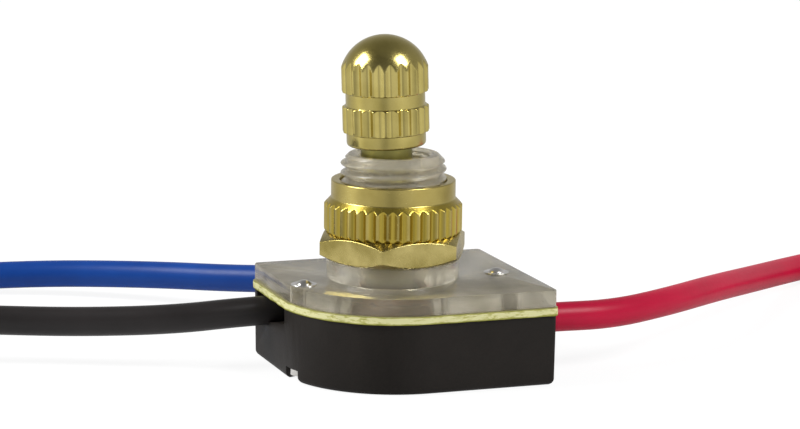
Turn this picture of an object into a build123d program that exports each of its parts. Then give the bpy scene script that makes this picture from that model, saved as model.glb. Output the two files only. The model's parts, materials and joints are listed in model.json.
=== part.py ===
from build123d import *
import math
import os

# Rotary lamp switch with two circuits and three leads, standing on its base.
# Millimetres. Z is up along the threaded bushing, X runs along the straight sides
# of the base and Y away from its rounded corner. The origin is on the underside of
# the base, on the bushing's axis.

# Outline of the base and the cover, measured from the bushing's axis
side_left = 11.0
side_right = 13.0
side_front = 10.7
side_back = 10.1
round_corner = 11.1
small_corner = 0.4

# Base, sheet and cover, stacked upwards
base_height = 6.9
base_floor = 1.5
base_draft = 0.7
base_edge = 0.6
cavity_radius = 7.5
sheet_thickness = 0.8
sheet_overhang = 0.25
plate_thickness = 1.7
boss_step = 1.3
boss_height = 2.0
boss_shoulder = 0.25

# Threaded bushing
thread_diameter = 10.3
bushing_height = 10.15
bushing_tip_diameter = 8.9
bushing_tip = 0.7
bushing_bore = 7.0
sheet_clearance = 0.1
thread_clearance = 0.06

# Nuts on the bushing
hex_wall = 1.5
hex_height = 2.5
hex_chamfer_angle = 28.0
hex_turn = 3.0
ring_wall = 0.9
ring_step = 0.675
ring_band = 2.7
ring_slope = 0.7
ring_collar = 1.75
ring_edge = 0.25
ring_flutes = 41
ring_flute_depth = 0.33
rib_share = 0.17
flute_run_out = 0.5

# Knob on the shaft
knob_gap = 0.9
knob_diameter = 8.4
knob_neck_diameter = 7.7
knob_foot = 1.33
knob_lower_band = 2.55
knob_groove = 1.36
knob_upper_band = 2.4
knob_dome = 3.1
knob_edge = 0.2
knob_flutes = 23
knob_flute_depth = 0.3
knob_bore_depth = 6.0
stud_end_gap = 0.3
knob_foot_edge = 0.35

# Shaft, leaning in the loose bushing about its foot
shaft_lean = 2.0
shaft_diameter = 5.0
stud_diameter = 4.0
stud_clearance = 0.03
pilot_diameter = 2.0
pilot_depth = 0.7
pilot_clearance = 0.12
drive_side = 3.4
drive_clearance = 0.03

# Rotor and what rides with it
contact_gap = 0.35
contact_thickness = 0.45
contact_radius = 3.8
contact_open_angle = 90.0
contact_clearance = 0.05
rotor_thickness = 1.65
rotor_radius = 4.0
star_depth = 0.6
star_radius = 1.1
positions = 4
clip_gap = 0.45
clip_thickness = 0.45
clip_radius = 4.0
clip_seat = 0.4
clip_opening = 3.0
spring_wire = 0.4
spring_radius = 3.2
spring_pitch = 0.55

# Brown fibre washer in the underside of the cover
washer_diameter = 8.4
washer_thickness = 0.6
washer_hole = 6.2
washer_clearance = 0.1

# Detent leaf beside the rotor, standing on the floor
leaf_thickness = 0.25
leaf_nose_gap = 0.3
leaf_nose_radius = 0.5
leaf_nose_width = 2.8
leaf_back = 5.55
leaf_end_gap = 0.1

# Terminals on the floor of the base
strip_thickness = 0.45
strip_width = 1.1
strip_end_gap = 0.05
pad_radius = 2.9
pad_width = 1.4
pad_inside = 0.7
blue_pad_outside = 1.9
red_pad_outside = 0.9
red_link_inside = 0.3
riser_thickness = 0.45
riser_above_lead = 0.95

# Rivets
rivet_spacing = 19.85
rivet_offset_x = 0.42
rivet_offset_y = -1.35
rivet_shank = 2.0
rivet_clearance = 0.05
rivet_head = 2.6
rivet_head_height = 0.5
rivet_recess_diameter = 3.2
rivet_recess = 1.2
rivet_foot_diameter = 2.6
rivet_foot_height = 0.6

# Leads: insulation over a stripped copper core
lead_diameter = 2.9
lead_clearance = 0.05
core_diameter = 1.02
core_clearance = 0.03
core_past = 0.5
bare_bend = 7.0
lead_length = 166.0
bare_length = 12.0
lead_top_gap = 0.1
arc_share = 0.45
coil_radius = 15.4
coil_gap = 0.1
coil_edge = 0.6
window_depth = 2.0
window_front = 0.2
window_front_height = 1.65
window_back = 9.0
window_back_height = 3.2
notch_front = -1.5
notch_back = -0.2
notch_height = 1.2
notch_reach = 0.7
channel_start = 3.0

# How far a cut runs past the face where it starts
overcut = 1.0

# Diameters that follow from the thread
boss_diameter = thread_diameter + 2 * boss_step
hex_flats = thread_diameter + 2 * hex_wall
ring_collar_diameter = thread_diameter + 2 * ring_wall
ring_diameter = ring_collar_diameter + 2 * ring_step

# Heights that follow from the stack
sheet_bottom = base_height
plate_bottom = sheet_bottom + sheet_thickness
plate_top = plate_bottom + plate_thickness
boss_top = plate_top + boss_height
bushing_top = boss_top + bushing_height
ring_bottom = boss_top + hex_height
knob_bottom = bushing_top + knob_gap
strip_top = base_floor + strip_thickness
contact_bottom = strip_top + contact_gap
rotor_bottom = contact_bottom + contact_thickness
rotor_top = rotor_bottom + rotor_thickness
clip_bottom = sheet_bottom - clip_gap - clip_thickness
pivot = base_floor - pilot_depth
lead_height = base_height - lead_top_gap - lead_diameter / 2
lead_on_floor = lead_diameter / 2
riser_top = lead_height + riser_above_lead
lead_pitch = lead_diameter + coil_gap

# Where the leads leave the base: black at the left, blue at the back, red at the right
black_line = 6.3
blue_line = 2.0
red_line = -4.8
black_riser = -2.8
blue_riser = 6.4
red_riser = 4.8

# Routes of the leads, from the stripped core inside the base to the put-away coil
black_inside = -7.6
blue_inside = 7.0
red_inside = 9.3
black_coil_height = lead_on_floor + lead_pitch
coil_x_left = -51.5
coil_back = 48.0
coil_front = coil_back - 2 * coil_radius
black_route = [
    (black_inside, black_line, lead_height),
    (-13.0, black_line, lead_height),
    (-20.0, 7.2, 4.8),
    (-28.5, 11.4, 4.2),
    (-37.0, 15.0, 4.2),
    (-44.5, coil_front, black_coil_height),
    (coil_x_left, coil_front, black_coil_height),
]
blue_route = [
    (blue_line, blue_inside, lead_height),
    (blue_line, 13.0, lead_height),
    (0.0, 21.5, 4.7),
    (-6.0, 29.6, 3.4),
    (-14.5, 38.2, 2.7),
    (-25.5, 45.0, 2.1),
    (-38.0, coil_back, 1.5),
    (coil_x_left, coil_back, lead_on_floor),
]
red_route = [
    (red_inside, red_line, lead_height),
    (14.6, red_line, lead_height),
    (21.6, -4.4, 5.1),
    (29.5, -0.4, 5.05),
    (38.0, 7.0, 4.3),
    (46.5, 15.4, 3.0),
    (55.5, 23.9, 1.8),
    (64.5, 29.3, lead_on_floor),
]


def outline(grow=0.0):
    """Plan of the base: a rectangle with one corner rounded about the bushing."""
    width = side_left + side_right + 2 * grow
    depth = side_front + side_back + 2 * grow
    centre = Pos((side_right - side_left) / 2, (side_back - side_front) / 2)
    plan = centre * Rectangle(width, depth)
    corners = plan.vertices().sort_by_distance((-side_left - grow, -side_front - grow))
    plan = fillet(corners[0], round_corner + grow)
    sharp = [v for v in plan.vertices() if v.X > 0 and v.Y < 0 or v.Y > side_back + grow - 0.01]
    sharp = [v for v in sharp if min(abs(v.X - side_right - grow), abs(v.X + side_left + grow)) < 0.01]
    return fillet(sharp, small_corner + grow)


def rivet_places():
    x = rivet_spacing / 2
    return [(rivet_offset_x - x, rivet_offset_y), (rivet_offset_x + x, rivet_offset_y)]


def rivet_holes(low, high):
    radius = rivet_shank / 2 + rivet_clearance
    places = [Pos(x, y, (low + high) / 2) for x, y in rivet_places()]
    return [place * Cylinder(radius, high - low) for place in places]


def lead_channel(along_x, line, start, stop, radius):
    """A channel in the wall for one lead, open towards the sheet above it."""
    middle, length = (start + stop) / 2, abs(stop - start)
    turn = (0, 90, 0) if along_x else (90, 0, 0)
    spot = (middle, line, lead_height) if along_x else (line, middle, lead_height)
    size = (length, 2 * radius) if along_x else (2 * radius, length)
    bore = Location(spot, turn) * Cylinder(radius, length)
    above = base_height - lead_height + overcut
    slot = Pos(spot[0], spot[1], lead_height + above / 2) * Box(*size, above)
    return bore + slot


def window():
    """Opening in the left wall round the black lead, lower towards the back."""
    top = base_height + overcut
    side = Polyline(
        (window_front, base_height - window_front_height),
        (window_back, base_height - window_back_height),
        (window_back, top),
        (window_front, top),
        close=True,
    )
    return Pos(-side_left, 0, 0) * extrude(Plane.YZ * make_face(side), amount=window_depth, both=True)


def base_housing():
    body = Pos(0, 0, base_height) * extrude(outline(), amount=-base_height, taper=base_draft)
    body = fillet(body.faces().sort_by(Axis.Z)[0].edges(), base_edge)
    cavity = Cylinder(
        cavity_radius, base_height, align=(Align.CENTER, Align.CENTER, Align.MIN)
    )
    body -= Pos(0, 0, base_floor) * cavity
    pilot_hole = pilot_diameter / 2 + pilot_clearance
    body -= Pos(0, 0, base_floor - pilot_depth / 2) * Cylinder(pilot_hole, pilot_depth)
    body -= rivet_holes(-overcut, base_height + overcut)
    for x, y in rivet_places():
        body -= Pos(x, y, rivet_recess / 2) * Cylinder(rivet_recess_diameter / 2, rivet_recess)
    radius = lead_diameter / 2 + lead_clearance
    body -= lead_channel(True, black_line, -side_left - overcut, -channel_start, radius)
    body -= lead_channel(True, red_line, channel_start, side_right + overcut, radius)
    body -= lead_channel(False, blue_line, channel_start, side_back + overcut, radius)
    notch = Box(2 * notch_reach, notch_back - notch_front, 2 * notch_height)
    return body - window() - Pos(-side_left, (notch_back + notch_front) / 2, 0) * notch


def insulating_sheet():
    sheet = Pos(0, 0, sheet_bottom) * extrude(outline(sheet_overhang), amount=sheet_thickness)
    hole = Cylinder(bushing_bore / 2 + sheet_clearance, 4 * sheet_thickness)
    sheet -= Pos(0, 0, sheet_bottom) * hole
    return sheet - rivet_holes(sheet_bottom - overcut, plate_bottom + overcut)


def bushing_cover():
    plate = Pos(0, 0, plate_bottom) * extrude(outline(), amount=plate_thickness)
    boss_radius, thread_radius = boss_diameter / 2, thread_diameter / 2
    profile = Polyline(
        (0, plate_bottom),
        (boss_radius, plate_bottom),
        (boss_radius, boss_top - boss_shoulder),
        (boss_radius - boss_shoulder, boss_top),
        (thread_radius, boss_top),
        (thread_radius, bushing_top - bushing_tip),
        (bushing_tip_diameter / 2, bushing_top),
        (0, bushing_top),
        close=True,
    )
    cover = plate + revolve(Plane.XZ * make_face(profile), Axis.Z)
    length = bushing_top - plate_bottom + 2 * overcut
    middle = (bushing_top + plate_bottom) / 2
    cover -= Pos(0, 0, middle) * Cylinder(bushing_bore / 2, length)
    pocket_depth = washer_thickness + washer_clearance
    pocket = Cylinder(washer_diameter / 2 + washer_clearance, pocket_depth)
    cover -= Pos(0, 0, plate_bottom + pocket_depth / 2) * pocket
    return cover - rivet_holes(plate_bottom - overcut, plate_top + overcut)


def fibre_washer():
    ring = Cylinder(washer_diameter / 2, washer_thickness)
    ring -= Cylinder(washer_hole / 2, 2 * washer_thickness)
    return Pos(0, 0, plate_bottom + washer_thickness / 2) * ring


def cap_arc(width, height, base):
    """Arc of a spherical cap in profile, from its rim to its crown on the axis."""
    radius = (width**2 + height**2) / (2 * height)
    centre = base + height - radius
    rise = math.degrees(math.asin((base - centre) / radius))
    return CenterArc((0, centre), radius, rise, 90 - rise)


def rivets():
    solids = []
    foot_top = rivet_recess
    for x, y in rivet_places():
        stem = Polyline(
            (0, foot_top - rivet_foot_height),
            (rivet_foot_diameter / 2, foot_top - rivet_foot_height),
            (rivet_foot_diameter / 2, foot_top),
            (rivet_shank / 2, foot_top),
            (rivet_shank / 2, plate_top),
            (rivet_head / 2, plate_top),
        )
        head = cap_arc(rivet_head / 2, rivet_head_height, plate_top)
        profile = make_face(stem + head + Line(head @ 1, stem @ 0))
        solids.append(Pos(x, y) * revolve(Plane.XZ * profile, Axis.Z))
    return Compound(children=solids)


def hex_nut():
    """Hexagon with its corners turned off by a cone at both ends."""
    flats, corner = hex_flats / 2, hex_flats / math.sqrt(3)
    prism = extrude(RegularPolygon(flats, 6, major_radius=False), amount=hex_height)
    rise = (corner - flats) * math.tan(math.radians(hex_chamfer_angle))
    cone = Polyline(
        (0, 0),
        (flats, 0),
        (corner, rise),
        (corner, hex_height - rise),
        (flats, hex_height),
        (0, hex_height),
        close=True,
    )
    nut = prism & revolve(Plane.XZ * make_face(cone), Axis.Z)
    nut -= Cylinder(thread_diameter / 2 + thread_clearance, 3 * hex_height)
    return Location((0, 0, boss_top), (0, 0, hex_turn)) * nut


def fluted(solid, count, depth, radius, low, high):
    """Cuts V-shaped flutes all round a turned piece and leaves narrow ribs between."""
    half = math.pi * radius * (1 - rib_share) / count
    spread = half * (depth + flute_run_out) / depth
    corner, root = radius + flute_run_out, radius - depth
    groove = Polyline((root, 0), (corner, spread), (corner, -spread), close=True)
    cutter = Pos(0, 0, low) * extrude(make_face(groove), amount=high - low)
    return solid - [Rot(0, 0, 360 * k / count) * cutter for k in range(count)]


def ring_nut():
    band, collar = ring_diameter / 2, ring_collar_diameter / 2
    bore = thread_diameter / 2 + thread_clearance
    band_top = ring_bottom + ring_band
    collar_bottom = band_top + ring_slope
    top = collar_bottom + ring_collar
    profile = Polyline(
        (bore, ring_bottom),
        (band - ring_edge, ring_bottom),
        (band, ring_bottom + ring_edge),
        (band, band_top),
        (collar, collar_bottom),
        (collar, top - ring_edge),
        (collar - ring_edge, top),
        (bore, top),
        close=True,
    )
    nut = revolve(Plane.XZ * make_face(profile), Axis.Z)
    return fluted(nut, ring_flutes, ring_flute_depth, band, ring_bottom - overcut, collar_bottom)


def leaning(piece):
    """Puts a piece that was drawn upright on the leaning shaft's axis."""
    return Location((0, 0, pivot), (0, -shaft_lean, 0)) * Pos(0, 0, -pivot) * piece


def knob():
    wide, neck = knob_diameter / 2, knob_neck_diameter / 2
    z0 = knob_bottom
    z1 = z0 + knob_foot
    z2 = z1 + knob_lower_band
    z3 = z2 + knob_groove
    z4 = z3 + knob_upper_band
    outer = Polyline(
        (0, z0),
        (neck - knob_foot_edge, z0),
        (neck, z0 + knob_foot_edge),
        (neck, z1),
        (wide - knob_edge, z1),
        (wide, z1 + knob_edge),
        (wide, z2 - knob_edge),
        (wide - knob_edge, z2),
        (neck, z2),
        (neck, z3),
        (wide - knob_edge, z3),
        (wide, z3 + knob_edge),
        (wide, z4),
    )
    dome = cap_arc(wide, knob_dome, z4)
    profile = make_face(outer + dome + Line(dome @ 1, outer @ 0))
    body = revolve(Plane.XZ * profile, Axis.Z)
    body = fluted(body, knob_flutes, knob_flute_depth, wide, z0 - overcut, z4 + knob_dome)
    hole = Cylinder(stud_diameter / 2 + stud_clearance, knob_bore_depth)
    body -= Pos(0, 0, z0 + knob_bore_depth / 2) * hole
    return leaning(body)


def shaft():
    radius, stud = shaft_diameter / 2, stud_diameter / 2
    seat = radius - clip_seat
    stud_top = knob_bottom + knob_bore_depth - stud_end_gap
    profile = Polyline(
        (0, rotor_top),
        (radius, rotor_top),
        (radius, clip_bottom),
        (seat, clip_bottom),
        (seat, clip_bottom + clip_thickness),
        (radius, clip_bottom + clip_thickness),
        (radius, knob_bottom),
        (stud, knob_bottom),
        (stud, stud_top),
        (0, stud_top),
        close=True,
    )
    body = revolve(Plane.XZ * make_face(profile), Axis.Z)
    drive_bottom = contact_bottom
    drive = Box(drive_side, drive_side, rotor_top - drive_bottom)
    body += Pos(0, 0, (rotor_top + drive_bottom) / 2) * drive
    pilot_bottom = base_floor - pilot_depth + pilot_clearance
    pilot = Cylinder(pilot_diameter / 2, drive_bottom - pilot_bottom)
    body += Pos(0, 0, (drive_bottom + pilot_bottom) / 2) * pilot
    return leaning(body)


def rotor():
    """Star wheel with one notch for each of its positions."""
    disc = Cylinder(rotor_radius, rotor_thickness)
    reach = rotor_radius - star_depth + star_radius
    for k in range(positions):
        notch = Pos(reach, 0) * Cylinder(star_radius, 2 * rotor_thickness)
        disc -= Rot(0, 0, 360 * k / positions) * notch
    side = drive_side + 2 * drive_clearance
    disc -= Box(side, side, 2 * rotor_thickness)
    return leaning(Pos(0, 0, (rotor_top + rotor_bottom) / 2) * disc)


def rotor_contact():
    """Brass plate under the rotor that leaves one quarter of the circle open."""
    half = contact_open_angle / 2
    arc_start, arc_size = 180 + half, 360 - contact_open_angle
    rim = CenterArc((0, 0), contact_radius, arc_start, arc_size)
    plate = make_face(rim + Line(rim @ 1, (0, 0)) + Line((0, 0), rim @ 0))
    plate -= Circle(drive_side / math.sqrt(2) + contact_clearance)
    solid = extrude(plate, amount=contact_thickness)
    return leaning(Pos(0, 0, contact_bottom) * solid)


def retaining_clip():
    inner = shaft_diameter / 2 - clip_seat + drive_clearance
    ring = Cylinder(clip_radius, clip_thickness) - Cylinder(inner, 2 * clip_thickness)
    ring -= Pos(clip_radius, 0) * Box(2 * clip_radius, clip_opening, 2 * clip_thickness)
    return leaning(Pos(0, 0, clip_bottom + clip_thickness / 2) * ring)


def compression_spring():
    rise = clip_bottom - rotor_top - spring_wire - 2 * drive_clearance
    path = Helix(spring_pitch, rise, spring_radius)
    section = Plane(origin=path @ 0, z_dir=path % 0) * Circle(spring_wire / 2)
    coil = sweep(section, path=path)
    return leaning(Pos(0, 0, rotor_top + spring_wire / 2 + drive_clearance) * coil)


def detent_leaf():
    """Flat spring whose bent nose points into a notch of the star wheel."""
    reach = math.sqrt(cavity_radius**2 - (leaf_back + leaf_thickness) ** 2) - leaf_end_gap
    tip, half = rotor_radius + leaf_nose_gap, leaf_nose_width / 2
    blade = Pos(-leaf_back - leaf_thickness / 2, 0) * Rectangle(leaf_thickness, 2 * reach)
    bend = -tip - leaf_nose_radius * (math.sqrt(2) - 1) / 2
    nose = Polyline((-leaf_back, -half), (bend, 0), (-leaf_back, half), close=True)
    shape = blade + make_face(nose)
    shape += Pos(-tip - leaf_nose_radius, 0) * Circle(leaf_nose_radius)
    return Pos(0, 0, base_floor) * extrude(shape, amount=rotor_top - base_floor)


def riser(x, y, along_x):
    """Upright end of a terminal strip, with the hole that the core is soldered in."""
    size = (riser_thickness, strip_width) if along_x else (strip_width, riser_thickness)
    height = riser_top - base_floor
    plate = Pos(x, y, base_floor + height / 2) * Box(*size, height)
    turn = (0, 90, 0) if along_x else (90, 0, 0)
    hole = Cylinder(core_diameter / 2 + core_clearance, 4 * riser_thickness)
    return plate - Location((x, y, lead_height), turn) * hole


def strip(x0, x1, y0, y1):
    centre = Pos((x0 + x1) / 2, (y0 + y1) / 2, base_floor + strip_thickness / 2)
    return centre * Box(x1 - x0, y1 - y0, strip_thickness)


def black_terminal():
    x, half = -pad_radius, strip_width / 2
    edge = math.sqrt(cavity_radius**2 - (pad_radius + half) ** 2) - strip_end_gap
    blade = strip(x - half, x + half, -pad_width / 2, edge)
    return blade + riser(black_riser, black_line, True)


def blue_terminal():
    half = strip_width / 2
    edge = blue_riser + riser_thickness / 2
    outside = pad_radius + blue_pad_outside
    blade = strip(-pad_width / 2, pad_width / 2, pad_radius - pad_inside, outside)
    blade += strip(-pad_width / 2, blue_line + half, pad_radius + pad_inside, outside)
    blade += strip(blue_line - half, blue_line + half, pad_radius + pad_inside, edge)
    return blade + riser(blue_line, blue_riser, False)


def red_terminal():
    half = strip_width / 2
    edge = red_riser + riser_thickness / 2
    outside = pad_radius + red_pad_outside
    blade = strip(pad_radius - pad_inside, outside, -pad_width / 2, pad_width / 2)
    blade += strip(pad_radius - red_link_inside, outside, red_line - half, pad_width / 2)
    blade += strip(pad_radius - red_link_inside, edge, red_line - half, red_line + half)
    return blade + riser(red_riser, red_line, True)


def round_bar(path, diameter):
    section = Plane(origin=path @ 0, z_dir=path % 0) * Circle(diameter / 2)
    return sweep(section, path=path)


def lead_path(name, route):
    """Straight runs joined by tangent arcs that are as large as the runs allow."""
    points = [Vector(*p) for p in route]
    radii = []
    for before, here, after in zip(points, points[1:], points[2:]):
        run_in, run_out = here - before, after - here
        half_turn = math.radians(run_in.get_angle(run_out)) / 2
        radii.append(arc_share * min(run_in.length, run_out.length) / math.tan(half_turn))
    print(name, "bend radii", [round(r, 1) for r in radii])
    return FilletPolyline(*points, radius=radii)


def coil(name, start, heading, side, length):
    """Outer shape of a flat coil that winds inwards, and the stripped end inside it.
    heading is the lead's direction in degrees where it joins the coil, and side is 1
    where it winds to the left and -1 where it winds to the right."""
    inner_square = coil_radius**2 - lead_pitch * length / math.pi
    end_radius = math.sqrt(inner_square)
    turns = (coil_radius - end_radius) / lead_pitch
    print(name, "coil", round(length, 1), "mm in", round(turns, 2), "turns")
    outer, inner = coil_radius + lead_diameter / 2, end_radius - lead_diameter / 2
    ring = Cylinder(outer, lead_diameter) - Cylinder(inner, 2 * lead_diameter)
    ring = fillet(ring.edges().filter_by(GeomType.CIRCLE), coil_edge)
    end_angle = heading + side * (360 * turns - 90)
    end = Vector(end_radius, 0).rotate(Axis.Z, end_angle)
    tangent = Vector(side, 0).rotate(Axis.Z, end_angle + 90)
    sweep_angle = side * math.degrees(bare_length / bare_bend)
    core = JernArc(start=end, tangent=tangent, radius=bare_bend, arc_size=sweep_angle)
    centre = Pos(*(Vector(*start) + Vector(coil_radius * side, 0).rotate(Axis.Z, heading + 90)))
    return centre * ring, centre * round_bar(core, core_diameter)


def core_inside(route, riser_place):
    """Stripped core from the end of the insulation through the terminal's riser."""
    start, second = Vector(*route[0]), Vector(*route[1])
    direction = (second - start).normalized() * -1
    return round_bar(Line(start, start + direction * (riser_place + core_past)), core_diameter)


def lead(name, route, side, inside, to_riser):
    """Returns the lead's tube, its coil and both stripped ends by node name."""
    path = lead_path(name, route)
    tube = round_bar(path, lead_diameter)
    left = lead_length + inside - path.length
    section = math.pi * lead_diameter**2 / 4
    share = tube.volume / section / path.length
    print(name, "tube", round(path.length, 1), "mm, volume over length", round(share, 4))
    end = path % 1
    heading = math.degrees(math.atan2(end.Y, end.X))
    ring, bare = coil(name, route[-1], heading, side, left)
    return {
        f"{name}_lead": tube,
        f"{name}_coil": ring,
        f"{name}_bare_end": bare,
        f"{name}_core": core_inside(route, to_riser),
    }


def all_leads():
    pieces = {}
    black_wall = side_left + black_inside
    blue_wall = side_back - blue_inside
    red_wall = side_right - red_inside
    pieces |= lead("black", black_route, -1, black_wall, black_riser - black_inside)
    pieces |= lead("blue", blue_route, 1, blue_wall, blue_inside - blue_riser)
    pieces |= lead("red", red_route, -1, red_wall, red_inside - red_riser)
    return pieces


def all_pieces():
    pieces = {
        "base_housing": base_housing(),
        "insulating_sheet": insulating_sheet(),
        "bushing_cover": bushing_cover(),
        "fibre_washer": fibre_washer(),
        "rivets": rivets(),
        "hex_nut": hex_nut(),
        "ring_nut": ring_nut(),
        "knob": knob(),
        "shaft": shaft(),
        "rotor": rotor(),
        "rotor_contact": rotor_contact(),
        "retaining_clip": retaining_clip(),
        "compression_spring": compression_spring(),
        "detent_leaf": detent_leaf(),
        "black_terminal": black_terminal(),
        "blue_terminal": blue_terminal(),
        "red_terminal": red_terminal(),
    }
    return pieces | all_leads()


os.makedirs("parts", exist_ok=True)
for node, piece in all_pieces().items():
    export_step(piece, f"parts/{node}.step")
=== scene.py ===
import json
import math

import bmesh
import bpy
from mathutils import Matrix, Vector, noise


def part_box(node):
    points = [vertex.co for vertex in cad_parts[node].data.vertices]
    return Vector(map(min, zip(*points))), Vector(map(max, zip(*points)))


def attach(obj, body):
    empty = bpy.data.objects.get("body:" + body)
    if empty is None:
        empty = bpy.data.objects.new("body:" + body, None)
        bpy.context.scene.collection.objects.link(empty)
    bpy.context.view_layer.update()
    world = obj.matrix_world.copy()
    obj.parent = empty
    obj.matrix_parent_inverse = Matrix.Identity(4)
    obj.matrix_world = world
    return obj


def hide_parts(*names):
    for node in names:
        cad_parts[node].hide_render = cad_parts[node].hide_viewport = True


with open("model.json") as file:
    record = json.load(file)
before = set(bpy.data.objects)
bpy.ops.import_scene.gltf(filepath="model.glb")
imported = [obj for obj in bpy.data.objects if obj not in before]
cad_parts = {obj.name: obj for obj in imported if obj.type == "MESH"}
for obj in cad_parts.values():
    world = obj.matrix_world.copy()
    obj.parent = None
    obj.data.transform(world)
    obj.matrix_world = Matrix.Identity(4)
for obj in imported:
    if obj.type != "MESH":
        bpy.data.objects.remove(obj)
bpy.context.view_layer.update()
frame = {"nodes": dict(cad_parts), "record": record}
nodes = frame["nodes"]
body_of_node = {n: b for b, ns in frame["record"]["behaviour"]["bodies"].items() for n in ns}
mm = 0.001

# Sizes read from the frame, in metres
base_low, base_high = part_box("base_housing")
sheet_low, sheet_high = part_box("insulating_sheet")
cover_low, cover_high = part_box("bushing_cover")
hex_low, hex_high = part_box("hex_nut")
ring_low, ring_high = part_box("ring_nut")
plate_top = cover_low.z + 1.7 * mm

# Sizes in metres, angles and counts that the part's source sets and the frame's boxes don't give
thread_radius = 5.15 * mm
thread_root = 4.6 * mm
thread_pitch = 0.94 * mm
thread_start = 20.18 * mm
nut_bore = 5.21 * mm
bore_radius = 3.5 * mm
boss_radius = 6.45 * mm
boss_height = 2.0 * mm
round_corner = 11.1 * mm
small_corner = 0.4 * mm
rivet_hole = 1.05 * mm
rivet_places = [(-9.505 * mm, -1.35 * mm), (10.345 * mm, -1.35 * mm)]
knob_lean = math.radians(-2.0)
knob_pivot = Vector((0, 0, 0.8 * mm))
knob_bottom = 22.45 * mm
hex_turn = math.radians(3.0)
ring_flutes = 41
knob_flutes = 23
flute_facets = 12

# Gap kept between faces that rest on each other, and distances under which points count as one
seat_gap = 0.015 * mm
merge_gap = 0.002 * mm
same_spot = 0.001 * mm

# Leads: routes as in the part's source, then the spiral of each coil
lead_diameter = 2.9 * mm
lead_pitch = 3.0 * mm
coil_radius = 15.4 * mm
coil_points = 18
coil_lengths = {"black": 123.5 * mm, "blue": 93.1 * mm, "red": 102.5 * mm}
bare_length = 12.0 * mm
bare_bend = 7.0 * mm
routes = {
    "black": [(-7.6, 6.3, 5.35), (-13, 6.3, 5.35), (-20, 7.2, 4.8), (-28.5, 11.4, 4.2), (-37, 15.0, 4.2),
              (-44.5, 17.2, 4.45), (-51.5, 17.2, 4.45)],
    "blue": [(2, 7, 5.35), (2, 13, 5.35), (0, 21.5, 4.7), (-6, 29.6, 3.4), (-14.5, 38.2, 2.7), (-25.5, 45, 2.1),
             (-38, 48, 1.5), (-51.5, 48, 1.45)],
    "red": [(9.3, -4.8, 5.35), (14.6, -4.8, 5.35), (21.6, -4.4, 5.1), (29.5, -0.4, 5.05), (38, 7, 4.3),
            (46.5, 15.4, 3), (55.5, 23.9, 1.8), (64.5, 29.3, 1.45)],
}
winds = {"black": -1, "blue": 1, "red": -1}


# Camera

camera_turn = 0.3456
towards_camera = Vector((-math.sin(camera_turn), -math.cos(camera_turn), 0))
to_the_right = Vector((math.cos(camera_turn), -math.sin(camera_turn), 0))


def camera():
    """Stands where the photograph was taken from, turned about the bushing's axis."""
    distance, height, pitch, roll = 293.1 * mm, 71.79 * mm, 0.1888, 0.0106
    picture_width, focal_length, right, up = 800, 3071, 6.9, -2.95
    data = bpy.data.cameras.new("camera")
    data.sensor_width = 36
    data.lens = 36 * focal_length / picture_width
    data.shift_x, data.shift_y = right / picture_width, up / picture_width
    data.clip_start, data.clip_end = 0.01, 10
    eye = bpy.data.objects.new("camera", data)
    bpy.context.scene.collection.objects.link(eye)
    look = -towards_camera * math.cos(pitch) - Vector((0, 0, math.sin(pitch)))
    level = Matrix((to_the_right, to_the_right.cross(look), -look)).transposed()
    place_at = towards_camera * distance + Vector((0, 0, height))
    eye.matrix_world = Matrix.Translation(place_at) @ level.to_4x4() @ Matrix.Rotation(roll, 4, "Z")
    bpy.context.scene.camera = eye


camera()


# Shader helpers

class Value:
    """A socket that arithmetic adds Math nodes to."""

    def __init__(self, finish, socket):
        self.finish, self.socket = finish, socket

    def maths(self, operation, *others):
        inputs = {i: o for i, o in enumerate((self, *others))}
        return self.finish.node("Math", {"operation": operation}, inputs)

    def __add__(self, other):
        return self.maths("ADD", other)

    def __sub__(self, other):
        return self.maths("SUBTRACT", other)

    def __mul__(self, other):
        return self.maths("MULTIPLY", other)

    def over(self, edge):
        return self.maths("GREATER_THAN", edge)


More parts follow.
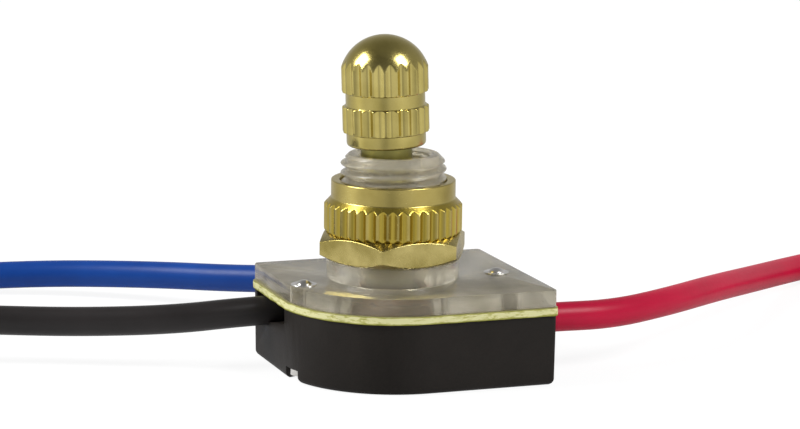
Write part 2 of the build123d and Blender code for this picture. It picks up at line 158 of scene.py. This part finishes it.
class Finish:
    """A material, or the world, whose nodes are added by one method."""

    def __init__(self, owner):
        owner.use_nodes = True
        self.owner, self.tree = owner, owner.node_tree
        self.tree.nodes.clear()

    def node(self, kind, settings=None, inputs=None, out=0):
        made = self.tree.nodes.new("ShaderNode" + kind)
        for name, value in (settings or {}).items():
            if name == "stops":
                self.stops(made.color_ramp, value)
            else:
                setattr(made, name, value)
        for name, value in (inputs or {}).items():
            socket = made.inputs[name]
            if isinstance(value, Value):
                self.tree.links.new(value.socket, socket)
            else:
                socket.default_value = value
        return Value(self, made.outputs[out]) if len(made.outputs) else None

    def stops(self, ramp, stops):
        while len(ramp.elements) < len(stops):
            ramp.elements.new(0.5)
        for element, (place, colour) in zip(ramp.elements, stops):
            element.position, element.color = place, colour

    def ramp(self, factor, *stops):
        return self.node("ValToRGB", {"stops": stops}, {"Fac": factor})

    def mix(self, factor, a, b):
        pins = {"Factor": factor, 6: a, 7: b}
        return self.node("Mix", {"data_type": "RGBA"}, pins, out=2)

    def place(self):
        return self.node("TexCoord", out=3)

    def scaled(self, x, y, z):
        return self.node("Mapping", {}, {"Vector": self.place(), "Scale": (x, y, z)})

    def grain(self, scale, detail=3, where=None, rough=0.5):
        pins = {"Vector": where or self.place(), "Scale": scale, "Detail": detail, "Roughness": rough}
        return self.node("TexNoise", {}, pins)

    def along(self, vector, direction):
        return self.node("VectorMath", {"operation": "DOT_PRODUCT"}, {0: vector, 1: direction}, out="Value")

    def length(self, vector):
        return self.node("VectorMath", {"operation": "LENGTH"}, {0: vector}, out="Value")

    def upward(self, vector):
        return self.node("SeparateXYZ", {}, {0: vector}, out=2)

    def looked_at(self):
        """One for what is seen straight or through the clear plastic, nought for what lights or mirrors."""
        straight = self.node("LightPath", out="Is Camera Ray")
        return straight.maths("MAXIMUM", self.node("LightPath", out="Is Transmission Ray"))

    def round_about(self, vector):
        """Brightness round the object: a dark strip where the camera stands, bright ones beside it."""
        angle = self.along(vector, to_the_right).maths("ARCTAN2", self.along(vector, towards_camera))
        stops = ((-180, 0.55), (-125, 0.5), (-100, 0.75), (-80, 1.05), (-62, 0.72), (-41, 0.74), (-20, 0.62),
                 (-8, 0.36), (2, 0.36), (12, 0.6), (30, 0.72), (47, 0.92), (90, 0.68), (115, 0.5), (180, 0.55))
        return self.ramp(angle * (1 / (2 * math.pi)) + 0.5, *((a / 360 + 0.5, grey(level)) for a, level in stops))

    def bump(self, height, strength, distance):
        return self.node("Bump", {}, {"Height": height, "Strength": strength, "Distance": distance})

    def surface(self, **inputs):
        pins = {name.replace("_", " "): value for name, value in inputs.items()}
        shader = self.node("BsdfPrincipled", {}, pins)
        self.node("OutputMaterial", {}, {"Surface": shader})
        return self.owner


def material(name):
    return Finish(bpy.data.materials.new(name))


def solid(red, green, blue):
    return (red, green, blue, 1)


def grey(level):
    return solid(level, level, level)


# Materials

def brass(name, light, dark, roughness, grain_height, fluted=False):
    """Turned brass: fine rings round the axis, faint tarnish and small pits, deeper colour in the flutes."""
    f = material(name)
    tarnish = f.grain(320, 4)
    fine = f.grain(5200, 2)
    rings = f.grain(1, 2, f.scaled(60, 60, 9000))
    colour = f.mix(f.ramp(tarnish, (0.35, grey(0)), (0.65, grey(1))), dark, light)
    if fluted:
        centimetres = f.length(f.scaled(100, 100, 0))
        depth = f.ramp(centimetres, (0.606, grey(0)), (0.615, grey(1)), (0.652, grey(1)), (0.668, grey(0)))
        colour = f.mix(depth, colour, solid(0.5, 0.38, 0.065))
    rough = fine * 0.12 + tarnish * 0.1 + (roughness - 0.11)
    relief = rings * 0.7 + fine * 0.5
    bump = f.bump(relief, 0.35, grain_height)
    return f.surface(Base_Color=colour, Metallic=1.0, Roughness=rough, Normal=bump)


def clear_plastic():
    """Clear plastic with a faint warm haze in it, deeper in the plate than in the bushing."""
    f = material("clear_plastic")
    flow = f.grain(260, 3)
    drawn = f.grain(1, 2, f.scaled(500, 500, 2600))
    sparkle = f.grain(2300, 2)
    bump = f.bump(flow + drawn * 0.5 + sparkle * 0.7, 0.6, 0.05 * mm)
    height = f.upward(f.place())
    low = f.ramp(flow, (0.35, solid(0.42, 0.38, 0.27)), (0.65, solid(0.71, 0.66, 0.54)))
    high = f.ramp(flow, (0.35, solid(0.84, 0.78, 0.6)), (0.7, solid(0.95, 0.9, 0.76)))
    rise = f.ramp(height * (1 / (20 * mm)), (9.3 / 20, grey(0)), (10 / 20, grey(1)))
    return f.surface(Base_Color=f.mix(rise, low, high), Roughness=flow * 0.1 + rise * 0.12 + 0.08, IOR=1.5,
                     Transmission_Weight=0.8, Normal=bump)


def fibre_sheet():
    """Pressed fibre: smooth yellow-green faces and a pale torn edge with loose fibres."""
    f = material("fibre_sheet")
    normal = f.node("NewGeometry", out=1)
    face = f.upward(normal).maths("ABSOLUTE").over(0.6)
    fibres = f.grain(1, 5, f.scaled(900, 900, 3200), 0.7)
    tufts = f.grain(1400, 4, rough=0.65)
    height = (f.upward(f.place()) - sheet_low.z) * (1 / (sheet_high.z - sheet_low.z))
    rims = f.ramp(height, (0.0, grey(0.35)), (0.22, grey(1)), (0.8, grey(1)), (1.0, grey(0.35)))
    edge = f.ramp(fibres * rims, (0.2, solid(0.2, 0.2, 0.02)), (0.38, solid(0.42, 0.4, 0.1)),
                  (0.5, solid(0.68, 0.66, 0.34)))
    flat = f.ramp(tufts, (0.3, solid(0.3, 0.28, 0.13)), (0.7, solid(0.44, 0.41, 0.2)))
    relief = fibres * 0.6 + tufts * 0.5
    bump = f.bump(relief, 0.8, 0.09 * mm)
    return f.surface(Base_Color=f.mix(face, edge, flat), Roughness=0.75, Normal=bump)


def moulded_black():
    """Phenolic moulding: soft charcoal sheen, faint mottling and a fine grain."""
    f = material("moulded_black")
    cloud = f.grain(210, 4)
    fine = f.grain(4200, 3)
    colour = f.ramp(cloud * 0.7 + fine * 0.3, (0.35, solid(0.0095, 0.0072, 0.0056)),
                    (0.7, solid(0.0145, 0.0112, 0.0088)))
    rough = cloud * 0.16 + fine * 0.1 + 0.34
    bump = f.bump(fine + cloud, 0.35, 0.03 * mm)
    return f.surface(Base_Color=colour, Roughness=rough, Specular_IOR_Level=0.22, Normal=bump)


def insulation(name, light, dark, roughness):
    """Drawn plastic insulation with a soft sheen and slight unevenness."""
    f = material(name)
    cloud = f.grain(160, 3)
    fine = f.grain(2600, 3)
    colour = f.mix(f.ramp(cloud, (0.35, grey(0)), (0.7, grey(1))), dark, light)
    rough = fine * 0.12 + (roughness - 0.06)
    bump = f.bump(cloud * 1.2 + fine * 0.3, 0.3, 0.06 * mm)
    return f.surface(Base_Color=colour, Roughness=rough, Specular_IOR_Level=0.22, Normal=bump)


def plated(name, colour, roughness):
    """Bright plated or spring metal with faint darker spots."""
    f = material(name)
    spots = f.grain(900, 4)
    tint = f.ramp(spots, (0.4, tuple(c * 0.75 for c in colour[:3]) + (1,)), (0.6, colour))
    return f.surface(Base_Color=tint, Metallic=1.0, Roughness=spots * 0.2 + roughness,
                     Normal=f.bump(spots, 0.8, 0.05 * mm))


def copper():
    """Bare copper, paler and darker in spots."""
    f = material("copper")
    spots = f.grain(1500, 3)
    tint = f.ramp(spots, (0.35, solid(0.62, 0.26, 0.14)), (0.65, solid(0.85, 0.45, 0.28)))
    return f.surface(Base_Color=tint, Metallic=1.0, Roughness=spots * 0.15 + 0.2)


def plain(name, light, dark, roughness):
    """Inner moulded pieces and washers."""
    f = material(name)
    cloud = f.grain(700, 4)
    tint = f.ramp(cloud, (0.35, dark), (0.65, light))
    return f.surface(Base_Color=tint, Roughness=cloud * 0.15 + roughness,
                     Normal=f.bump(cloud, 0.4, 0.03 * mm))


knob_brass = brass("knob_brass", solid(0.62, 0.52, 0.18), solid(0.5, 0.41, 0.12), 0.2, 0.006 * mm)
nut_brass = brass("nut_brass", solid(0.6, 0.49, 0.16), solid(0.48, 0.38, 0.11), 0.24, 0.01 * mm, fluted=True)
hex_brass = brass("hex_brass", solid(0.64, 0.53, 0.2), solid(0.36, 0.29, 0.085), 0.28, 0.009 * mm)
# Painted shade: a darker copy of the brass for the shaft, standing in for the shade under the knob and inside the
# bore.
shaft_brass_painted_shade = brass("shaft_brass_painted_shade", solid(0.34, 0.31, 0.1), solid(0.26, 0.24, 0.07), 0.36, 0.012 * mm)
inner_brass = brass("inner_brass", solid(0.55, 0.43, 0.17), solid(0.45, 0.33, 0.12), 0.35, 0.01 * mm)
clear = clear_plastic()
fibre = fibre_sheet()
black_base = moulded_black()
nickel = plated("nickel", solid(0.86, 0.84, 0.8), 0.14)
steel = plated("spring_steel", solid(0.5, 0.5, 0.52), 0.2)
copper_wire = copper()
ivory = plain("ivory_moulding", solid(0.72, 0.68, 0.55), solid(0.62, 0.57, 0.44), 0.45)
brown_fibre = plain("brown_fibre", solid(0.62, 0.3, 0.07), solid(0.46, 0.22, 0.05), 0.65)
lead_finish = {
    "black": insulation("black_insulation", solid(0.024, 0.021, 0.021), solid(0.017, 0.015, 0.015), 0.34),
    "blue": insulation("blue_insulation", solid(0.005, 0.055, 0.29), solid(0.003, 0.042, 0.24), 0.38),
    "red": insulation("red_insulation", solid(0.53, 0.004, 0.042), solid(0.46, 0.003, 0.035), 0.36),
}


# Piece helpers

def place(obj, finish, *replaced, slot):
    """Links a piece, dresses it and lets it ride in place of its CAD nodes."""
    obj.data.materials.append(finish)
    bpy.context.scene.collection.objects.link(obj)
    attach(obj, body_of_node[replaced[0]])
    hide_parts(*replaced)


def piece(name, bm, finish, *replaced, slot, sharp=32):
    """Makes the bmesh a closed, smooth-shaded object with its hard edges kept."""
    bmesh.ops.remove_doubles(bm, verts=bm.verts, dist=merge_gap)
    bmesh.ops.recalc_face_normals(bm, faces=bm.faces)
    mesh = bpy.data.meshes.new(name)
    bm.to_mesh(mesh)
    bm.free()
    mesh.shade_smooth()
    mesh.set_sharp_from_angle(angle=math.radians(sharp))
    place(bpy.data.objects.new(name, mesh), finish, *replaced, slot=slot)


def divided(profile, step):
    """The profile's points with more between them, no further apart than step."""
    points = [profile[0]]
    for (r0, z0), (r1, z1) in zip(profile, profile[1:]):
        count = max(1, math.ceil(math.hypot(r1 - r0, z1 - z0) / step))
        points += [(r0 + (r1 - r0) * k / count, z0 + (z1 - z0) * k / count) for k in range(1, count + 1)]
    return points


def rounded(r, z, radius, start, stop, steps=4):
    """Points of a small arc about (r, z), angles in degrees from the outward direction."""
    angles = [math.radians(start + (stop - start) * k / steps) for k in range(steps + 1)]
    return [(r + radius * math.cos(a), z + radius * math.sin(a)) for a in angles]


def domed(radius, z, high, steps):
    """Points of a round cap from its rim, at a radius and height, to its top on the axis."""
    ball = (radius**2 + high**2) / (2 * high)
    rise = math.degrees(math.asin((ball - high) / ball))
    return rounded(0, z + high - ball, ball, rise, 90, steps)[:-1] + [(0, z + high)]


def turn(bm, profile, steps):
    """Spins a profile of (radius, height) points round the Z axis."""
    verts = [bm.verts.new((r, 0, z)) for r, z in profile]
    edges = [bm.edges.new(pair) for pair in zip(verts, verts[1:])]
    bmesh.ops.spin(bm, geom=verts + edges, cent=(0, 0, 0), axis=(0, 0, 1), angle=2 * math.pi,
                   steps=steps, use_merge=True, use_duplicate=False)
    bmesh.ops.remove_doubles(bm, verts=bm.verts, dist=same_spot)


def cut_back(bm, limit, soft=0):
    """Moves points in to the radius that limit gives for their angle and height, rounded over if soft."""
    for v in bm.verts:
        radius = math.hypot(v.co.x, v.co.y)
        most = limit(math.atan2(v.co.y, v.co.x), v.co.z)
        if soft and radius > most - 8 * soft:
            most -= soft * math.log(1 + math.exp((most - radius) / soft))
        if radius > most:
            v.co.x *= most / radius
            v.co.y *= most / radius


def flutes(count, radius, depth):
    """Limit that leaves narrow ribs between hollow flutes."""
    rib, hollow = 1 / 6, 1.6

    def limit(angle, height):
        share = abs((angle * count / (2 * math.pi)) % 1 - 0.5) * 2
        return radius if share >= 1 - rib else radius - depth * (1 - (share / (1 - rib)) ** hollow)

    return limit


# Turned brass pieces

def knob():
    """Knob with two fluted bands and a domed top, leaning with its shaft."""
    wide, neck = 4.2 * mm, 3.85 * mm
    foot, lower, groove, upper, dome = 1.33 * mm, 2.55 * mm, 1.36 * mm, 2.4 * mm, 3.095 * mm
    z0 = knob_bottom
    z1, z2 = z0 + foot, z0 + foot + lower
    z3 = z2 + groove
    z4 = z3 + upper
    edge, foot_edge, flute_depth = 0.16 * mm, 0.35 * mm, 0.3 * mm
    profile = [(0, z0)] + rounded(neck - foot_edge, z0 + foot_edge, foot_edge, -90, 0)
    profile += [(neck, z1 - edge / 2), (neck + edge / 2, z1)]
    profile += divided(rounded(wide - edge, z1 + edge, edge, -90, 0)
                       + rounded(wide - edge, z2 - edge, edge, 0, 90), 0.2 * mm)
    profile += [(neck + edge / 2, z2), (neck, z2 + edge / 2), (neck, z3 - edge / 2), (neck + edge / 2, z3)]
    profile += divided(rounded(wide - edge, z3 + edge, edge, -90, 0) + [(wide, z4 - 0.1 * mm)], 0.3 * mm)
    profile += domed(wide, z4, dome, 60)
    bm = bmesh.new()
    turn(bm, profile, knob_flutes * flute_facets)
    cut_back(bm, flutes(knob_flutes, wide, flute_depth))
    lean = Matrix.Translation(knob_pivot) @ Matrix.Rotation(knob_lean, 4, "Y") @ Matrix.Translation(-knob_pivot)
    bmesh.ops.transform(bm, matrix=lean, verts=bm.verts)
    piece("turn_knob", bm, knob_brass, "knob", slot="brass_polished")


def ring_nut():
    """Nut with a fluted band below a plain collar."""
    band, collar, bore = 6.725 * mm, 6.05 * mm, nut_bore
    edge, chamfer, flute_depth = 0.12 * mm, 0.3 * mm, 0.33 * mm
    low, top = ring_low.z, ring_high.z
    band_top, collar_low = low + 2.7 * mm, low + 3.4 * mm
    profile = [(bore, low), (band - chamfer, low)]
    profile += divided([(band - 0.25 * mm, low + 0.03 * mm), (band, low + chamfer), (band, band_top)], 0.12 * mm)
    profile += divided([(band, band_top), (collar + 0.02 * mm, collar_low)], 0.04 * mm)
    profile += [(collar, collar_low + 0.06 * mm)]
    profile += rounded(collar - edge, top - edge, edge, 0, 90)
    profile += rounded(bore + edge, top - edge, edge, 90, 180)
    profile += [(bore, low)]
    bm = bmesh.new()
    turn(bm, profile, ring_flutes * flute_facets)
    shape = flutes(ring_flutes, band, flute_depth)
    cut_back(bm, lambda angle, height: shape(angle, height) if height < collar_low else band)
    piece("knurled_ring_nut", bm, nut_brass, "ring_nut", slot="brass_polished")


def hex_nut():
    """Thin hexagonal nut, chamfered above and below."""
    flats, bore, countersink = 6.65 * mm, nut_bore, 0.3 * mm
    corner, inner = flats / math.cos(math.pi / 6), flats - 0.1 * mm
    low, top = hex_low.z + seat_gap, hex_high.z
    rise = (corner - flats) * math.tan(math.radians(30)) + 0.04 * mm
    fine, coarse = 0.03 * mm, 0.3 * mm
    profile = [(bore, low)] + divided([(inner, low), (corner, low + rise)], fine)
    profile += divided([(corner, low + rise), (corner, top - rise)], coarse)
    profile += divided([(corner, top - rise), (inner, top)], fine)
    profile += [(bore + countersink, top), (bore, top - countersink), (bore, low)]
    bm = bmesh.new()
    turn(bm, profile, 360)

    def limit(angle, height):
        away = (angle - hex_turn) % (math.pi / 3) - math.pi / 6
        return flats / math.cos(away)

    cut_back(bm, limit, 0.035 * mm)
    piece("thin_hex_nut", bm, hex_brass, "hex_nut", slot="brass_satin", sharp=20)


# Plate-shaped pieces

def outline(bm, grow, z):
    """Edges of the base's plan at one height: a rectangle with one large round corner."""
    left, right = base_low.x - grow, base_high.x + grow
    front, back = base_low.y - grow, base_high.y + grow
    corners = [bm.verts.new((x, y, z)) for x, y in ((left, front), (right, front), (right, back), (left, back))]
    bm.faces.new(corners)
    options = {"affect": "VERTICES", "profile": 0.5, "material": -1}
    bmesh.ops.bevel(bm, geom=corners[:1], offset=round_corner + grow, segments=40, **options)
    sharp = [v for v in corners[1:] if v.is_valid]
    bmesh.ops.bevel(bm, geom=sharp, offset=small_corner + grow, segments=4, **options)
    faces = [f for f in bm.faces if len(f.verts) > 4 and abs(f.calc_center_median().z - z) < same_spot]
    edges = list(faces[0].edges)
    bmesh.ops.delete(bm, geom=faces, context="FACES_ONLY")
    return [e for e in edges if e.is_valid]


def wall(bm, edges, height):
    """Raises a loop of edges into an upright wall and returns its faces."""
    made = bmesh.ops.extrude_edge_only(bm, edges=edges)["geom"]
    verts = [g for g in made if isinstance(g, bmesh.types.BMVert)]
    bmesh.ops.translate(bm, verts=verts, vec=(0, 0, height))
    return [g for g in made if isinstance(g, bmesh.types.BMFace)]


def hole(bm, x, y, z, radius, height):
    """Wall of a round hole, open at both ends."""
    spot = Matrix.Translation((x, y, z))
    ring = bmesh.ops.create_circle(bm, segments=48, radius=radius, matrix=spot)["verts"]
    wall(bm, list({e for v in ring for e in v.link_edges}), height)


def rivet_holes(bm, z, height):
    for x, y in rivet_places:
        hole(bm, x, y, z, rivet_hole, height)


def close_level(bm, z):
    """Fills the open loops that lie at one height, and leaves the loops inside others open."""
    edges = [e for e in bm.edges if len(e.link_faces) == 1 and all(abs(v.co.z - z) < same_spot for v in e.verts)]
    bmesh.ops.triangle_fill(bm, use_beauty=True, use_dissolve=False, edges=edges)


def threads(angle, height):
    """Limit of the bushing's rounded thread above the boss, with one flat down its side."""
    fullness, flat_distance, flat_side, no_limit = 0.8, 5.0 * mm, math.radians(-104), 1.0
    if not plate_top + boss_height < height < cover_high.z:
        return no_limit
    phase = (height - thread_start) / thread_pitch - angle / (2 * math.pi)
    crest = 0.5 + 0.5 * math.cos(2 * math.pi * phase)
    radius = thread_root + (thread_radius - thread_root) * crest**fullness
    return min(radius, flat_distance / max(0.2, math.cos(angle - flat_side)))


def bushing_cover():
    """Clear moulding: plate, boss and threaded bushing in one closed skin."""
    low, top = cover_low.z, cover_high.z
    boss_top = hex_low.z
    pocket, deep = 4.3 * mm, low + 0.7 * mm
    tip, tip_edge, lead_in = 4.45 * mm, 0.15 * mm, 0.8 * mm
    edge, fillet, rim_edge = 0.25 * mm, 0.2 * mm, 0.1 * mm
    profile = [(pocket, low), (pocket, deep), (bore_radius, deep), (bore_radius, top - edge),
               (bore_radius + edge, top)]
    profile += rounded(tip - tip_edge, top - tip_edge, tip_edge, 90, 45)
    profile += divided([(tip - 0.03 * mm, top - 0.06 * mm), (thread_radius, top - lead_in),
                        (thread_radius, boss_top)], thread_pitch / 10)
    profile += [(boss_radius - edge, boss_top)] + rounded(boss_radius - edge, boss_top - edge, edge, 80, 0)
    profile += [(boss_radius, plate_top + fillet), (boss_radius + fillet * 0.3, plate_top + fillet * 0.3),
                (boss_radius + fillet, plate_top)]
    bm = bmesh.new()
    turn(bm, profile, 144)
    cut_back(bm, threads)
    sides = wall(bm, outline(bm, 0, low), plate_top - low)
    rivet_holes(bm, low, plate_top - low)
    close_level(bm, low)
    close_level(bm, plate_top)
    rims = [e for e in {e for f in sides if f.is_valid for e in f.edges}
            if abs(e.verts[0].co.z - e.verts[1].co.z) < same_spot]
    bmesh.ops.bevel(bm, geom=rims, offset=rim_edge, affect="EDGES", segments=2, profile=0.5, material=-1)
    piece("clear_bushing_cover", bm, clear, "bushing_cover", slot="clear_plastic")


def insulating_sheet():
    """Rough-cut sheet whose edge wanders a little."""
    low, high = sheet_low.z, sheet_high.z - seat_gap
    middle, half = (high + low) / 2, (high - low) / 2
    play, ripples, clearance, long_edge = 0.09 * mm, 900, 0.1 * mm, 0.6 * mm
    bm = bmesh.new()
    grow = base_low.x - sheet_low.x
    edges = outline(bm, grow, low)
    long_edges = [e for e in edges if e.calc_length() > long_edge]
    bmesh.ops.subdivide_edges(bm, edges=long_edges, cuts=40)
    rim = [e for e in bm.edges if not e.link_faces]
    wall(bm, rim, half)
    upper = [e for e in bm.edges if all(abs(v.co.z - middle) < same_spot for v in e.verts)]
    wall(bm, upper, half)
    for v in bm.verts:
        wander = noise.noise(Vector((v.co.x, v.co.y, v.co.z * 3)) * ripples) * play
        inward = Vector((-v.co.x, -v.co.y, 0)).normalized()
        v.co += inward * (play + wander)
    hole(bm, 0, 0, low, bore_radius + clearance, high - low)
    rivet_holes(bm, low, high - low)
    close_level(bm, low)
    close_level(bm, high)
    piece("fibre_insulating_sheet", bm, fibre, "insulating_sheet", slot="fibre_sheet")


def moulded_base():
    """The base's own solid form, with its hard edges slightly rounded."""
    straight, hard_angle, edge = math.radians(1.0), math.radians(30), 0.08 * mm
    bm = bmesh.new()
    bm.from_mesh(nodes["base_housing"].data)
    bmesh.ops.remove_doubles(bm, verts=bm.verts, dist=merge_gap)
    bmesh.ops.dissolve_limit(bm, angle_limit=straight, verts=bm.verts, edges=bm.edges)
    hard = [e for e in bm.edges if len(e.link_faces) == 2 and e.calc_face_angle(0) > hard_angle]
    bmesh.ops.bevel(bm, geom=hard, offset=edge, affect="EDGES", segments=2, profile=0.5, material=-1,
                    clamp_overlap=True)
    piece("moulded_base", bm, black_base, "base_housing", slot="phenolic")


def rivet_heads():
    """Domed heads on thin flanges that hold the plate, with shanks and flared feet below."""
    foot, shank, flange, head = 1.28 * mm, 1.0 * mm, 1.27 * mm, 0.8 * mm
    low, foot_high, flange_high, head_high, edge = 0.6 * mm, 0.6 * mm, 0.08 * mm, 0.39 * mm, 0.06 * mm
    seat = plate_top + seat_gap
    rim = seat + flange_high
    profile = [(0, low), (foot, low), (foot, low + 0.58 * mm), (shank, low + foot_high), (shank, seat),
               (flange, seat)]
    profile += rounded(flange - edge, rim - edge, edge, 0, 90) + domed(head, rim, head_high, 14)
    bm = bmesh.new()
    for x, y in rivet_places:
        one = bmesh.new()
        turn(one, profile, 48)
        bmesh.ops.translate(one, verts=one.verts, vec=(x, y, 0))
        mesh = bpy.data.meshes.new("rivet")
        one.to_mesh(mesh)
        one.free()
        bm.from_mesh(mesh)
        bpy.data.meshes.remove(mesh)
    piece("plated_rivets", bm, nickel, "rivets", slot="nickel")


# Leads

def tube(name, radius, roundness):
    """Round curve with closed ends, still without its path."""
    data = bpy.data.curves.new(name, "CURVE")
    data.dimensions = "3D"
    data.bevel_depth = radius
    data.bevel_resolution = roundness
    data.use_fill_caps = True
    return data


def spline_curve(name, points, radius, finish):
    """Smooth tube along its points."""
    data = tube(name, radius, 7)
    spline = data.splines.new("NURBS")
    spline.points.add(len(points) - 1)
    for point, place_at in zip(spline.points, points):
        point.co = (*place_at, 1)
    spline.order_u = 3
    spline.use_endpoint_u = True
    data.resolution_u = 6
    data.materials.append(finish)
    obj = bpy.data.objects.new(name, data)
    bpy.context.scene.collection.objects.link(obj)
    return obj


def spiral(start, heading, side, length):
    """Points of the coil after its first one, and the direction in which it ends."""
    end_radius = math.sqrt(coil_radius**2 - lead_pitch * length / math.pi)
    angle = 2 * math.pi * (coil_radius - end_radius) / lead_pitch
    across = Matrix.Rotation(heading + math.pi / 2, 3, "Z") @ Vector((coil_radius * side, 0, 0))
    centre = Vector(start) + across
    first = heading - side * math.pi / 2
    count = math.ceil(angle / (2 * math.pi) * coil_points)
    points = []
    for k in range(1, count + 1):
        share = k / count
        radius = coil_radius - lead_pitch * angle * share / (2 * math.pi)
        swell = 1 + 0.5 * (angle / count / 2) ** 2 if k < count else 1
        turned = first + side * angle * share
        points.append(centre + Vector((math.cos(turned), math.sin(turned), 0)) * radius * swell)
    ahead = first + side * angle + side * math.pi / 2
    return points, ahead


def strands(name, start, heading, side):
    """Six copper strands twisted round a seventh, along the arc of the stripped end."""
    outer, spread, twists, steps = 6, 0.3 * mm, 1.6, 30
    data = tube(name, 0.15 * mm, 2)
    ahead = Vector((math.cos(heading), math.sin(heading), 0))
    normal = Vector((-math.sin(heading), math.cos(heading), 0)) * side
    centre = Vector(start) + normal * bare_bend
    for strand in range(outer + 1):
        offset = spread if strand < outer else 0.0
        spline = data.splines.new("POLY")
        spline.points.add(steps)
        for k, point in enumerate(spline.points):
            swing = bare_length / bare_bend * k / steps
            out = -normal * math.cos(swing) + ahead * math.sin(swing)
            twist = 2 * math.pi * (strand / outer + twists * k / steps)
            spot = centre + out * (bare_bend + offset * math.cos(twist)) + Vector((0, 0, offset * math.sin(twist)))
            point.co = (*spot, 1)
    return bpy.data.objects.new(name, data)


def lead(colour):
    """One insulated lead along its route and coil, with its stripped end."""
    points = [Vector(p) * mm for p in routes[colour]]
    side = winds[colour]
    out = points[-1] - points[-2]
    heading = math.atan2(out.y, out.x)
    coil, ahead = spiral(points[-1], heading, side, coil_lengths[colour])
    insulated = spline_curve(f"{colour}_insulated_lead", points + coil, lead_diameter / 2, lead_finish[colour])
    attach(insulated, "switch_body")
    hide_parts(f"{colour}_lead", f"{colour}_coil")
    bare = strands(f"{colour}_stranded_end", coil[-1], ahead, side)
    place(bare, copper_wire, f"{colour}_bare_end", slot="copper")


for colour in routes:
    lead(colour)

knob()
ring_nut()
hex_nut()
bushing_cover()
insulating_sheet()
rivet_heads()
moulded_base()

# CAD nodes that keep their own shape
kept = {
    "shaft": shaft_brass_painted_shade, "rotor": ivory, "rotor_contact": inner_brass, "retaining_clip": steel,
    "compression_spring": steel, "detent_leaf": steel, "black_terminal": inner_brass,
    "blue_terminal": inner_brass, "red_terminal": inner_brass, "fibre_washer": brown_fibre,
    "black_core": copper_wire, "blue_core": copper_wire, "red_core": copper_wire,
}
for node, finish in kept.items():
    nodes[node].data.materials.clear()
    nodes[node].data.materials.append(finish)


# Stage

def floor():
    """Pale floor that is looked at as white, keeps a faint shadow and darkens in front in reflections, with
    painted shade close to the object.
    """
    bm = bmesh.new()
    bmesh.ops.create_grid(bm, x_segments=1, y_segments=1, size=4)
    mesh = bpy.data.meshes.new("floor")
    bm.to_mesh(mesh)
    bm.free()
    obj = bpy.data.objects.new("floor", mesh)
    obj.location.z = -0.02 * mm
    bpy.context.scene.collection.objects.link(obj)
    f = material("floor")
    seen = f.looked_at()
    mirrored = f.node("LightPath", out="Is Glossy Ray")
    # Painted shade: what metal reflects of the floor is darker within a few centimetres of the object.
    painted_shade_near_object = f.mix(f.ramp(f.length(f.place()), (0.06, grey(0)), (0.13, grey(1))), grey(0.82), grey(1.0))
    shade = f.node("Mix", {"data_type": "RGBA", "blend_type": "MULTIPLY"},
                   {"Factor": 1.0, 6: f.round_about(f.place()), 7: painted_shade_near_object}, out=2)
    lit = f.node("BsdfDiffuse", {}, {"Color": grey(0.9)})
    white = f.node("Emission", {}, {"Color": f.mix(mirrored, grey(1.06), shade), "Strength": 1.0})
    mixed = f.node("MixShader", {}, {0: seen.maths("MAXIMUM", mirrored) * 0.85, 1: lit, 2: white})
    f.node("OutputMaterial", {}, {"Surface": mixed})
    mesh.materials.append(f.owner)


def lamp(name, azimuth, elevation, size, power):
    """Softbox aimed at the object, placed by its angles from the camera's side."""
    distance, aim = 0.6, Vector((0, 0, 0.02))
    round_it, above = math.radians(azimuth), math.radians(elevation)
    flat = towards_camera * math.cos(round_it) + to_the_right * math.sin(round_it)
    away = flat * math.cos(above) + Vector((0, 0, math.sin(above)))
    data = bpy.data.lights.new(name, "AREA")
    data.shape = "RECTANGLE"
    data.size, data.size_y = size
    data.energy = power
    obj = bpy.data.objects.new(name, data)
    obj.location = away * distance + aim
    obj.rotation_euler = away.to_track_quat("Z", "Y").to_euler()
    bpy.context.scene.collection.objects.link(obj)


def tent():
    """White for what is looked at or through, and a soft tent, darker above the camera, that metal reflects."""
    world = bpy.data.worlds.new("tent")
    bpy.context.scene.world = world
    f = Finish(world)
    seen = f.looked_at()
    direction = f.node("TexCoord", out="Generated")
    up = f.upward(direction)
    front = f.along(direction, towards_camera)
    behind = f.ramp(up, (0.2, grey(0.45)), (0.8, grey(0.24)), (1.0, grey(0.18)))
    before = f.ramp(up, (0.2, grey(0.4)), (0.6, grey(0.13)), (0.9, grey(0.11)), (1.0, grey(0.18)))
    above = f.mix(f.ramp(front * 0.5 + 0.5, (0.35, grey(0)), (0.65, grey(1))), behind, before)
    level = f.mix(f.ramp(up, (0.05, grey(0)), (0.35, grey(1))), f.round_about(direction), above)
    back = f.node("Background", {}, {"Color": f.mix(seen, level, grey(1.0)), "Strength": 1.0})
    f.node("OutputWorld", {}, {"Surface": back})


floor()
tent()
lamp("left_softbox", -86, 40, (0.27, 0.27), 3.2)
lamp("right_softbox", 63, 48, (0.22, 0.24), 2.3)

view_settings = bpy.context.scene.view_settings
view_settings.view_transform = "Standard"
